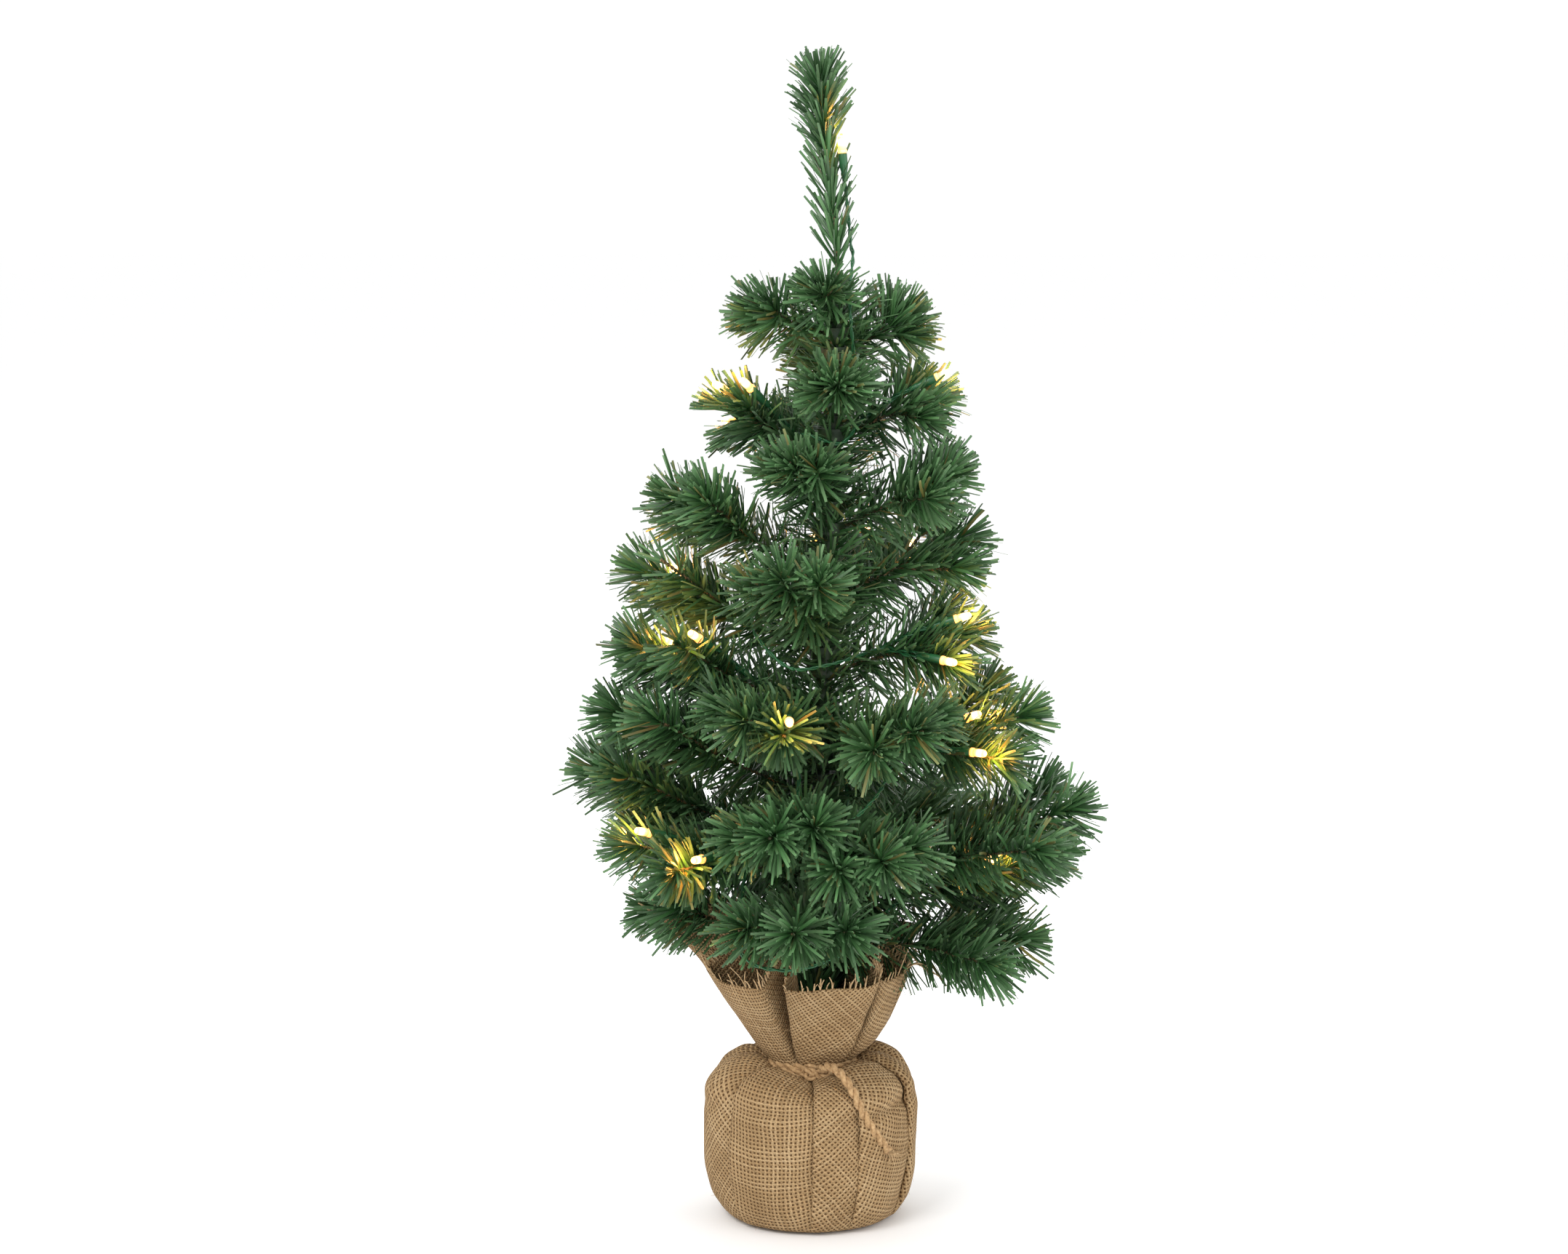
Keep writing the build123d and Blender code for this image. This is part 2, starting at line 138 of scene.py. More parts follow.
# ---------------------------------------------------------------- mesh helpers
class Mesh:
    """Gathers closed bits of mesh, with one colour attribute, into a single object."""

    def __init__(self):
        self.v, self.f, self.c, self.n = [], [], [], 0

    def put(self, verts, faces, color):
        verts = np.asarray(verts, float).reshape(-1, 3)
        self.v.append(verts)
        self.f.append(np.asarray(faces) + self.n)
        c = np.asarray(color, float)
        self.c.append(np.broadcast_to(c, (len(verts), 4)) if c.ndim == 1 else c)
        self.n += len(verts)

    def make(self, name, material, smooth=False):
        me = bpy.data.meshes.new(name)
        me.from_pydata(np.concatenate(self.v).tolist(), [],
                       [[int(i) for i in f] for block in self.f for f in block])
        a = me.color_attributes.new("tone", "FLOAT_COLOR", "POINT")
        a.data.foreach_set("color", np.concatenate(self.c).astype(np.float32).ravel())
        me.materials.append(material)
        if smooth:
            me.polygons.foreach_set("use_smooth", [True] * len(me.polygons))
        me.update()
        o = bpy.data.objects.new(name, me)
        scene.collection.objects.link(o)
        return o


def unit(v):
    v = np.asarray(v, float)
    return v / np.linalg.norm(v)


def frames(path):
    """Tangents and two steady cross directions along a path."""
    path = np.asarray(path, float)
    t = np.gradient(path, axis=0)
    t /= np.linalg.norm(t, axis=1)[:, None]
    a = np.array((0, 0, 1.0)) if abs(t[0][2]) < 0.9 else np.array((1.0, 0, 0))
    u = unit(a - t[0] * (a @ t[0]))
    us = [u]
    for k in range(1, len(path)):
        u = us[-1] - t[k] * (us[-1] @ t[k])
        us.append(unit(u))
    us = np.array(us)
    return t, us, np.cross(t, us)


def closed_rings(mesh, rings, first, last, color):
    """Joins equal rings of points into a skin, closed by a fan of triangles at each end."""
    count, sides = len(rings), len(rings[0])
    base = mesh.n
    walls, caps = [], []
    for i in range(count - 1):
        for k in range(sides):
            a, b = i * sides + k, i * sides + (k + 1) % sides
            walls.append((a, b, b + sides, a + sides))
    mesh.put(np.concatenate([np.reshape(rings, (-1, 3)), [first], [last]]), walls, color)
    middle = base + count * sides
    end = base + (count - 1) * sides
    for k in range(sides):
        caps.append((middle, base + (k + 1) % sides, base + k))
        caps.append((middle + 1, end + k, end + (k + 1) % sides))
    mesh.f.append(np.array(caps))


def tube(mesh, path, radius, color, sides=6):
    """A closed tube; radius may change along it."""
    path = np.asarray(path, float)
    r = np.broadcast_to(np.asarray(radius, float), (len(path),))
    _, u, w = frames(path)
    ang = np.arange(sides) * 2 * pi / sides
    rings = path[:, None] + r[:, None, None] * (
        np.cos(ang)[None, :, None] * u[:, None] + np.sin(ang)[None, :, None] * w[:, None])
    closed_rings(mesh, rings, path[0], path[-1], color)


def smooth_path(points, step=0.002):
    """A smooth line through the points."""
    p = np.asarray(points, float)
    q = np.concatenate([[2 * p[0] - p[1]], p, [2 * p[-1] - p[-2]]])
    out = []
    for i in range(1, len(q) - 2):
        a, b, c, d = q[i - 1], q[i], q[i + 1], q[i + 2]
        n = max(2, int(np.linalg.norm(c - b) / step))
        s = np.arange(n)[:, None] / n
        out.append(0.5 * (2 * b + (c - a) * s + (2 * a - 5 * b + 4 * c - d) * s ** 2
                          + (3 * b - a - 3 * c + d) * s ** 3))
    out.append(p[-1:])
    return np.concatenate(out)


def strands(mesh, path, count, offset, radius, pitch, color, sides=6, phase=0.0):
    """Strands twisted round each other along a path."""
    path = np.asarray(path, float)
    s = np.concatenate([[0], np.cumsum(np.linalg.norm(np.diff(path, axis=0), axis=1))])
    _, u, w = frames(path)
    for k in range(count):
        a = phase + 2 * pi * (k / count + s / pitch)
        line = path + offset * (np.cos(a)[:, None] * u + np.sin(a)[:, None] * w)
        tube(mesh, line, radius, color, sides)


# ---------------------------------------------------------------- the loose end of the tie
TAIL = [(6.6, -34.2, 103.8), (10, -41.5, 108.5), (17, -51, 107.5), (25.5, -58.5, 98),
        (31.5, -61, 84), (40, -57.2, 68), (49.5, -49.8, 54)]


def rounded(route):
    """The smooth curve that a route's points steer, as points in metres."""
    curve = bpy.data.curves.new("tail_route", "CURVE")
    curve.dimensions = "3D"
    curve.resolution_u = 16
    spline = curve.splines.new("NURBS")
    spline.points.add(len(route) - 1)
    for point, (x, y, z) in zip(spline.points, route):
        point.co = (x * MM, y * MM, z * MM, 1)
    spline.order_u = 3
    spline.use_endpoint_u = True
    drawn = bpy.data.objects.new("tail_route", curve)
    scene.collection.objects.link(drawn)
    dg = bpy.context.evaluated_depsgraph_get()
    drawn_mesh = bpy.data.meshes.new_from_object(drawn.evaluated_get(dg))
    path = np.array([v.co for v in drawn_mesh.vertices])
    bpy.data.objects.remove(drawn)
    bpy.data.meshes.remove(drawn_mesh)
    return path


tail_path = rounded(TAIL)


# ---------------------------------------------------------------- materials
def needle_material():
    """PVC film: deep green to grey green by needle, a few brown, all paler towards the ends."""
    m, nt, b = new_material("needle_film")
    att = node(nt, "ShaderNodeAttribute", attribute_name="tone")
    sep = nt.nodes.new("ShaderNodeSeparateColor")
    link(nt, att.outputs["Color"], sep.inputs[0])
    pick, along, light = sep.outputs[0], sep.outputs[1], sep.outputs[2]
    base = ramp(nt, pick, [(0.0, (0.013, 0.052, 0.013)), (0.35, (0.024, 0.088, 0.022)),
                           (0.7, (0.045, 0.132, 0.038)), (0.93, (0.095, 0.180, 0.078)),
                           (1.0, (0.170, 0.140, 0.035))])
    mix = node(nt, "ShaderNodeMix", data_type="RGBA")
    link(nt, math(nt, "MULTIPLY", math(nt, "POWER", along, 1.6), 0.42), mix.inputs["Factor"])
    link(nt, base, mix.inputs["A"])
    mix.inputs["B"].default_value = (0.125, 0.215, 0.105, 1)
    hsv = nt.nodes.new("ShaderNodeHueSaturation")
    link(nt, mix.outputs["Result"], hsv.inputs["Color"])
    link(nt, math(nt, "MULTIPLY_ADD", light, 0.9, 0.65), hsv.inputs["Value"])
    link(nt, hsv.outputs[0], b.inputs["Base Color"])
    b.inputs["Roughness"].default_value = 0.42
    b.inputs["Specular IOR Level"].default_value = 0.45
    bump(nt, b, noise(nt, 1400, 2), 0.25, 0.0001)
    return m


def stem_material():
    """Twisted wire, blotched from dark green to rusty brown."""
    m, nt, b = new_material("twisted_wire")
    f = noise(nt, 420, 4)
    link(nt, ramp(nt, f, [(0.30, (0.020, 0.045, 0.016)), (0.50, (0.060, 0.055, 0.020)),
                          (0.62, (0.190, 0.120, 0.050)), (0.78, (0.260, 0.180, 0.090))]),
         b.inputs["Base Color"])
    b.inputs["Roughness"].default_value = 0.6
    bump(nt, b, f, 0.6, 0.0003)
    return m


def wire_material():
    """The smooth green insulation of the light string."""
    m, nt, b = new_material("string_insulation")
    link(nt, ramp(nt, noise(nt, 60), [(0.3, (0.012, 0.085, 0.030)), (0.7, (0.025, 0.130, 0.045))]),
         b.inputs["Base Color"])
    b.inputs["Roughness"].default_value = 0.3
    bump(nt, b, noise(nt, 700), 0.1, 0.0001)
    return m


def jute_material(name, dark, mid, light):
    """Rough plant fibre, blotched from dark to light."""
    m, nt, b = new_material(name)
    f = noise(nt, 500, 6)
    link(nt, ramp(nt, f, [(0.25, dark), (0.5, mid), (0.8, light)]), b.inputs["Base Color"])
    b.inputs["Roughness"].default_value = 0.9
    bump(nt, b, noise(nt, 1500, 5), 0.8, 0.0004)
    return m


PITCH = 0.0026            # from yarn to yarn
CLOTH = 0.0011            # thickness


def burlap_material():
    """A plain weave drawn from the cloth's own two directions, so it turns with every fold."""
    m, nt, b = new_material("burlap_weave")
    uv = node(nt, "ShaderNodeUVMap", uv_map="cloth").outputs[0]
    wob = node(nt, "ShaderNodeTexNoise", {"Scale": 26, "Detail": 2})
    link(nt, uv, wob.inputs["Vector"])
    shift = node(nt, "ShaderNodeVectorMath", operation="MULTIPLY_ADD")
    link(nt, wob.outputs["Color"], shift.inputs[0])
    shift.inputs[1].default_value = (0.005, 0.005, 0)
    link(nt, uv, shift.inputs[2])
    xyz = nt.nodes.new("ShaderNodeSeparateXYZ")
    link(nt, shift.outputs[0], xyz.inputs[0])
    x, y = xyz.outputs[0], xyz.outputs[1]

    def yarns(c, other):
        """Height across one set of yarns, their lift over the other set, and their count."""
        cell = math(nt, "DIVIDE", c, PITCH)
        across = math(nt, "ABSOLUTE", math(nt, "SUBTRACT", math(nt, "FRACT", cell), 0.5))
        body = math(nt, "SUBTRACT", 1.0, math(nt, "MULTIPLY", across, 2.9))
        turn = math(nt, "ADD", math(nt, "DIVIDE", other, PITCH), math(nt, "FLOOR", cell))
        lift = math(nt, "COSINE", math(nt, "MULTIPLY", turn, pi))
        return body, lift, cell

    wa, la, ca = yarns(x, y)
    wb, lb, cb = yarns(y, x)
    ha = math(nt, "MULTIPLY", math(nt, "MAXIMUM", wa, 0.0), math(nt, "MULTIPLY_ADD", la, 0.4, 0.6))
    hb = math(nt, "MULTIPLY", math(nt, "MAXIMUM", wb, 0.0),
              math(nt, "MULTIPLY_ADD", lb, -0.4, 0.6))
    h = math(nt, "MAXIMUM", ha, hb)
    # each yarn has its own tone
    tone = node(nt, "ShaderNodeTexWhiteNoise", noise_dimensions="1D")
    which = math(nt, "GREATER_THAN", ha, hb)
    floor_a = math(nt, "FLOOR", ca)
    floor_b = math(nt, "ADD", math(nt, "FLOOR", cb), 500.0)
    pick = math(nt, "ADD", math(nt, "MULTIPLY", which, floor_a),
                math(nt, "MULTIPLY", math(nt, "SUBTRACT", 1.0, which), floor_b))
    link(nt, pick, tone.inputs["W"])
    fibre = noise(nt, 1500, 4, uv)
    blotch = noise(nt, 18, 2, uv)
    shade = math(nt, "ADD", math(nt, "MULTIPLY", tone.outputs["Value"], 0.20),
                 math(nt, "ADD", math(nt, "MULTIPLY", fibre, 0.55),
                      math(nt, "MULTIPLY", blotch, 0.3)))
    yarn = ramp(nt, shade, [(0.25, (0.240, 0.142, 0.062)), (0.52, (0.440, 0.290, 0.145)),
                            (0.80, (0.680, 0.500, 0.290))])
    # painted shade: where the weave sinks, between the yarns and where a yarn dips under the other,
    # the colour goes to a dark brown
    mix = node(nt, "ShaderNodeMix", data_type="RGBA")
    link(nt, math(nt, "SMOOTH_MIN", math(nt, "MULTIPLY", h, 4.5), 1.0, 0.2), mix.inputs["Factor"])
    mix.inputs["A"].default_value = (0.075, 0.038, 0.014, 1)
    link(nt, yarn, mix.inputs["B"])
    link(nt, mix.outputs["Result"], b.inputs["Base Color"])
    b.inputs["Roughness"].default_value = 0.95
    b.inputs["Specular IOR Level"].default_value = 0.15
    bump(nt, b, math(nt, "ADD", h, math(nt, "MULTIPLY", fibre, 0.3)), 1.0, 0.0012)
    return m


NEEDLE, STEM, WIRE = needle_material(), stem_material(), wire_material()
JUTE = jute_material("jute_twine", (0.20, 0.11, 0.045), (0.42, 0.26, 0.12), (0.62, 0.43, 0.23))
THREAD = jute_material("jute_thread", (0.26, 0.16, 0.07), (0.46, 0.31, 0.16), (0.66, 0.49, 0.29))
BURLAP = burlap_material()


def lens_material():
    """The lit diode: the tone is brightest at the chip and falls off to amber at both ends."""
    m, nt, b = new_material("lamp_lens")
    b.inputs["Base Color"].default_value = (1.0, 0.80, 0.45, 1)
    b.inputs["Roughness"].default_value = 0.15
    att = node(nt, "ShaderNodeAttribute", attribute_name="tone")
    sep = nt.nodes.new("ShaderNodeSeparateColor")
    link(nt, att.outputs["Color"], sep.inputs[0])
    flicker = math(nt, "MULTIPLY_ADD", noise(nt, 300), 0.3, 0.85)
    glow = math(nt, "MULTIPLY", sep.outputs[0], flicker)
    link(nt, ramp(nt, glow, [(0.05, (1.0, 0.25, 0.02)), (0.35, (1.0, 0.42, 0.07)),
                             (0.9, (1.0, 0.62, 0.25))]), b.inputs["Emission Color"])
    link(nt, math(nt, "MULTIPLY_ADD", glow, 6.0, 0.9), b.inputs["Emission Strength"])
    return m


def collar_material():
    """Clear plastic that carries some of the lamp's light."""
    m, nt, b = new_material("lamp_collar")
    b.inputs["Base Color"].default_value = (0.95, 0.88, 0.70, 1)
    b.inputs["Roughness"].default_value = 0.2
    b.inputs["Transmission Weight"].default_value = 0.5
    b.inputs["Emission Color"].default_value = (1.0, 0.34, 0.05, 1)
    b.inputs["Emission Strength"].default_value = 1.6
    bump(nt, b, noise(nt, 400), 0.1, 0.0001)
    return m


LENS, COLLAR = lens_material(), collar_material()
HOLDER = plain("lamp_holder", (0.020, 0.110, 0.040), 0.35, 1200, 0.1)

# ---------------------------------------------------------------- the branches, as in the CAD
LEAN = 1.92               # the trunk's lean to the right, degrees
HINGE_R = 7.0             # from the trunk's middle to where a branch bends
FORK = 0.40               # how far along its reach a branch forks
SIDE_REACH = 0.55         # a side wire's length over the branch's reach
LAMP_OFF = 9.9            # from a lamp's middle line to its wire
# height of the root, azimuth, reach, lift, roll of the fork, spread of the side wires
BRANCHES = [
    (176, -8, 150, 4, 10, 35), (184, 178, 122, 10, 20, 35), (192, 12, 180, 15, -12, 30),
    (200, -97, 140, 6, 0, 35), (208, -14, 194, 23, 18, 28), (216, 132, 138, 10, -10, 35),
    (224, -157, 148, 13.5, -12, 35), (232, 52, 150, 13, 10, 35), (240, 175, 170, 20, 18, 30),
    (248, -70, 130, 3, 12, 30), (256, 95, 140, 16, 0, 35), (264, -106, 128, 3, 12, 30),
    (276, -172, 160, 25, 15, 32), (288, -4, 152, 19, 30, 35), (300, 128, 130, 20, 15, 35),
    (311, -55, 120, 12, 20, 35), (322, -122, 115, 10, -15, 35), (334, -165, 146, 21, 20, 32),
    (358, -8, 110, 18, 40, 35), (370, 170, 146, 24, 30, 32), (382, -112, 105, 32, 10, 35),
    (394, 70, 105, 27, 0, 38), (406, 10, 112, 24, 38, 35), (420, -172, 128, 29, 20, 32),
    (450, -18, 102, 27, 25, 35), (466, -115, 80, 30, 0, 36), (482, 118, 88, 30, 10, 38),
    (496, 178, 92, 27, 30, 36), (510, -5, 84, 24, 40, 38), (528, -88, 62, 25, 0, 38),
    (545, 100, 66, 30, 0, 38), (562, 0, 66, 30, 55, 38), (574, -170, 70, 18, 25, 38),
    (590, -112, 46, 30, 0, 38),
]
# branch (0 is the leader), wire of that branch, distance along it, side of it in degrees
LAMPS = [
    (7, 2, 24, 30), (7, 0, 96, 0), (3, 1, 26, -30), (3, 0, 96, 10), (14, 0, 76, -10),
    (14, 1, 28, -30), (17, 2, 28, 0), (18, 0, 78, -10), (18, 2, 30, 30), (20, 0, 80, -15),
    (19, 1, 22, -30), (19, 0, 66, -20), (22, 0, 60, 0), (22, 1, 22, -30), (22, 2, 22, 30),
    (28, 0, 54, 0), (28, 1, 18, -50), (28, 2, 18, 50), (29, 0, 50, -20), (0, 0, 62, -90),
]


def trunk_x(z):
    """The leaning trunk's middle at a height."""
    return (z - 100.0) * tan(radians(LEAN))


def turn(a, b, angle):
    """Direction a turned towards b by an angle in degrees."""
    return cos(radians(angle)) * a + sin(radians(angle)) * b


def along(branch):
    """A branch's own directions: outwards, sideways and up."""
    az, lift = radians(branch[1]), radians(branch[3])
    return (np.array((cos(lift) * cos(az), cos(lift) * sin(az), sin(lift))),
            np.array((-sin(az), cos(az), 0.0)),
            np.array((-sin(lift) * cos(az), -sin(lift) * sin(az), cos(lift))))


def hinge_point(branch):
    """Where a branch bends."""
    az = radians(branch[1])
    return np.array((trunk_x(branch[0]) + HINGE_R * cos(az), HINGE_R * sin(az), branch[0]))


def wires(branch):
    """Start, direction, length and up of a branch's main wire and its two side wires."""
    reach = branch[2] - HINGE_R
    d, t, n = along(branch)
    root = hinge_point(branch)
    side, up = turn(t, n, branch[4]), turn(n, t, -branch[4])
    fork = root + d * FORK * reach
    runs = [(root, d, reach, n)]
    for k in (-1, 1):
        runs.append((fork, turn(d, side, k * branch[5]), SIDE_REACH * reach, up))
    return runs


TREE_TOP, LEADER_Z, LEADER_TILT = 750.0, 607.0, 5.4
LEADER_REACH = (TREE_TOP - LEADER_Z) / cos(radians(LEADER_TILT)) - 0.4


def leader_run():
    """Start, direction, length and front of the leader's wire."""
    a = radians(-LEADER_TILT)
    return (np.array((trunk_x(LEADER_Z), 0.0, LEADER_Z)), np.array((sin(a), 0.0, cos(a))),
            LEADER_REACH, np.array((0.0, -1.0, 0.0)))


def lamp_place(lamp):
    """Where a lamp's holder starts, the way it points and the way from its wire."""
    start, d, _, up = leader_run() if lamp[0] == 0 else wires(BRANCHES[lamp[0] - 1])[lamp[1]]
    u = turn(up, np.cross(up, d), lamp[3])
    return start + d * lamp[2] + u * LAMP_OFF, d, u


# ---------------------------------------------------------------- needles and twisted wires
NW, NT = 1.9, 0.16        # needle width and thickness
HALF = np.array([(-1, -1), (1, -1), (1, 1), (-1, 1)]) * 0.5


def needle_block(mesh, base, direction, flat, length, bend, width, tone, light):
    """Many needles at once: thin bent strips with square-cut ends."""
    k = len(base)
    cuts = np.array((0.0, 0.34, 0.68, 1.0))
    side = np.cross(direction, flat)
    side /= np.linalg.norm(side, axis=1)[:, None]
    up = np.cross(side, direction)
    s = cuts[None, :] * length[:, None]
    centre = (base[:, None] + s[..., None] * direction[:, None]
              + (cuts[None, :] ** 2 * length[:, None])[..., None] * bend[:, None])
    w = width[:, None] * np.array((0.72, 1.0, 1.0, 0.86))[None]
    v = (centre[:, :, None] + (HALF[None, None, :, 0] * w[..., None])[..., None] * side[:, None, None]
         + (HALF[None, None, :, 1] * NT)[..., None] * up[:, None, None])
    verts = v.reshape(-1, 3) * MM
    one = []
    for i in range(3):
        for q in range(4):
            a, b = i * 4 + q, i * 4 + (q + 1) % 4
            one.append((a, b, b + 4, a + 4))
    one += [(3, 2, 1, 0), (12, 13, 14, 15)]
    faces = (np.array(one)[None] + (np.arange(k) * 16)[:, None, None]).reshape(-1, 4)
    col = np.zeros((k, 4, 4, 4))
    col[..., 0] = tone[:, None, None]
    col[..., 1] = cuts[None, :, None]
    col[..., 2] = light[:, None, None]
    col[..., 3] = 1
    mesh.put(verts, faces, col.reshape(-1, 4))


LENSES = []               # each lamp's lens, from behind its holder's mouth to beyond its end
for lamp in LAMPS:
    p, d, u = lamp_place(lamp)
    LENSES.append((p + d * 13, p + d * 33, u))
FRONT = np.array((0.0, -0.99, 0.13))     # towards the viewer


def clear_of_lamps(base, direction, length):
    """Which needles neither run through a lamp nor lie over its lens from the front."""
    keep = np.ones(len(base), bool)
    along_it = np.linspace(0.12, 1, 6)
    at = base[:, None] + (along_it[None] * length[:, None])[..., None] * direction[:, None]
    for a, b, u in LENSES:
        for start, stop, wide in ((a, b, 4.2), (b - (b - a) * 0.45, b + FRONT * 70, 4.6),
                                  (b - (b - a) * 0.45, b + u * 14, 4.0)):
            line = stop - start
            t = np.clip(((at - start) @ line) / (line @ line), 0, 1)
            off = np.linalg.norm(at - start - t[..., None] * line, axis=-1)
            keep &= ~(off < wide).any(axis=1)
    return keep


CROWN = 34                # needles in the tuft that closes a tip


def brush(mesh, start, d, first, last, per_mm, length, tip=16.0, spread=(46, 62)):
    """Needles round one wire from first to last, swept forward, closing up at the tip."""
    k = max(6, int((last - tip - first) * per_mm))
    s = first + (last - tip - first) * (np.arange(k) + rng.random(k)) / k
    crown = CROWN if tip > 10 else 0
    s = np.concatenate([s, last - rng.uniform(13, 24, crown)])
    k += crown
    in_crown = np.arange(k) >= k - crown
    a = rng.random(k) * 2 * pi
    u = unit(np.cross(d, (0, 0, 1.0)) if abs(d[2]) < 0.95 else np.cross(d, (1.0, 0, 0)))
    w = np.cross(u, d)
    radial = np.cos(a)[:, None] * u + np.sin(a)[:, None] * w
    open_angle = np.radians(rng.uniform(*spread, k))
    near = np.clip((s - (last - tip - 9)) / 9, 0, 1)
    open_angle = open_angle * (1 - 0.45 * near * rng.random(k))
    open_angle = np.where(in_crown, np.radians(rng.uniform(4, 42, k)), open_angle)
    direction = np.cos(open_angle)[:, None] * d + np.sin(open_angle)[:, None] * radial
    direction += rng.normal(0, 0.07, (k, 3))
    direction /= np.linalg.norm(direction, axis=1)[:, None]
    n_len = rng.uniform(0.86, 1.06, k) * length
    n_len = np.minimum(n_len, (last + 1.0 - s) / np.maximum(0.25, direction @ d))
    n_len = np.maximum(n_len, 6)
    bend = rng.normal(0, 0.07, (k, 3)) + 0.10 * d - np.array((0, 0, 0.03))
    flat = d * 1.0 + rng.normal(0, 0.55, (k, 3))
    base = start + s[:, None] * d + radial * 0.7
    tone = np.clip(rng.beta(2.0, 2.3, k) + rng.uniform(-0.12, 0.16), 0, 1)
    tone = np.where(rng.random(k) < 0.03, 1.0, np.minimum(tone, 0.93))
    light = np.clip(rng.random(k) + rng.uniform(-0.12, 0.12), 0, 1)
    keep = clear_of_lamps(base, direction, n_len)
    needle_block(mesh, base[keep], direction[keep], flat[keep], n_len[keep], bend[keep],
                 (rng.uniform(0.82, 1.08, k) * NW)[keep], tone[keep], light[keep])


def stem(mesh, start, d, first, last, r=0.75):
    """The two wires twisted together that hold the needles."""
    n = max(8, int((last - first) / 1.1))
    path = (start + d * first)[None] + d[None] * np.linspace(0, last - first, n)[:, None]
    strands(mesh, path * MM, 2, r * MM * 0.75, r * MM, 0.0062, EVEN, 5)


DENSE = 1.0
TUFT = 11                 # needles only, beyond the end of the wire
for number, branch in enumerate(BRANCHES, 1):
    name = f"branch_{number:02d}"
    mesh, wood = Mesh(), Mesh()
    reach = branch[2] - HINGE_R
    long = 27.5 if reach > 85 else 25.0
    fork = FORK * reach
    for k, (start, d, e, _) in enumerate(wires(branch)):
        if k == 0:
            brush(mesh, start, d, 5, fork + 6, 3.2 * DENSE, long + 4, tip=4, spread=(54, 92))
            brush(mesh, start, d, fork + 4, e, 3.5 * DENSE, long)
        else:
            brush(mesh, start, d, 3, e, 3.5 * DENSE, long)
        stem(wood, start, d, 0, e - TUFT)
    needles_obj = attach(mesh.make("needles_%02d" % number, NEEDLE), name)
    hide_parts(name)
    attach(wood.make("wire_%02d" % number, STEM), name)

start, d, e, _ = leader_run()
mesh, wood = Mesh(), Mesh()
brush(mesh, start, d, 8, 95, 2.2 * DENSE, 25, tip=0, spread=(24, 40))
brush(mesh, start, d, 82, e, 4.4 * DENSE, 25, tip=17, spread=(36, 56))
stem(wood, start, d, -3, e - TUFT, 1.0)
leader_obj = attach(mesh.make("leader_needles", NEEDLE), "leader")
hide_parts("leader")
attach(wood.make("leader_wire", STEM), "leader")

# longer needles along the trunk itself, between the branches
mesh = Mesh()
up_trunk = np.array((sin(radians(LEAN)), 0, cos(radians(LEAN))))
foot = np.array((trunk_x(176), 0.0, 176.0))
brush(mesh, foot, up_trunk, -8, 428, 5.0 * DENSE, 36, tip=2, spread=(50, 96))
brush(mesh, foot, up_trunk, -46, -6, 4.0 * DENSE, 31, tip=2, spread=(30, 62))
trunk_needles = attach(mesh.make("trunk_needles", NEEDLE), "base")


# ---------------------------------------------------------------- lamps
SIDES = 20                # round the lamps
# outlines as (radius, distance along the axis), in millimetres
HOLDER_SHAPE = [(1.3, 0), (1.7, 0.5), (1.9, 3), (2.3, 4.2), (2.3, 5.2), (2.0, 6),
                (2.6, 9), (2.75, 10), (2.75, 17.2), (2.6, 17.8)]
COLLAR_SHAPE = [(2.5, 17.8), (2.95, 18.0), (2.95, 19.6), (2.6, 20.0)]
LENS_SHAPE = [(2.3, 20.0), (2.5, 20.3), (2.5, 21.6), (2.5, 23.0), (2.5, 25.0), (2.45, 26.6),
              (2.25, 27.6), (1.8, 28.3), (1.0, 28.8), (0.4, 29.0)]
LENS_LIGHT = (0.05, 0.08, 0.25, 0.7, 1.0, 0.7, 0.35, 0.2, 0.2, 0.25)    # at each lens point
GLOW_AT = 32.5            # where the lamp's light stands along its axis


def turned(mesh, p, d, outline, color):
    """A closed turned shape along direction d from p."""
    u = unit(np.cross(d, (0, 0, 1.0)) if abs(d[2]) < 0.95 else np.cross(d, (1.0, 0, 0)))
    w = np.cross(d, u)
    ang = np.arange(SIDES) * 2 * pi / SIDES
    rings = [(p + d * s)[None] + r * (np.cos(ang)[:, None] * u + np.sin(ang)[:, None] * w)
             for r, s in outline]
    closed_rings(mesh, np.array(rings) * MM, (p + d * outline[0][1]) * MM,
                 (p + d * outline[-1][1]) * MM, color)


def lamp_glow(name, where):
    """A small warm light at a lens."""
    data = bpy.data.lights.new(name, "POINT")
    data.energy = 0.06
    data.color = (1.0, 0.40, 0.07)
    data.shadow_soft_size = 0.003
    spot = bpy.data.objects.new(name, data)
    scene.collection.objects.link(spot)
    spot.location = where
    return spot


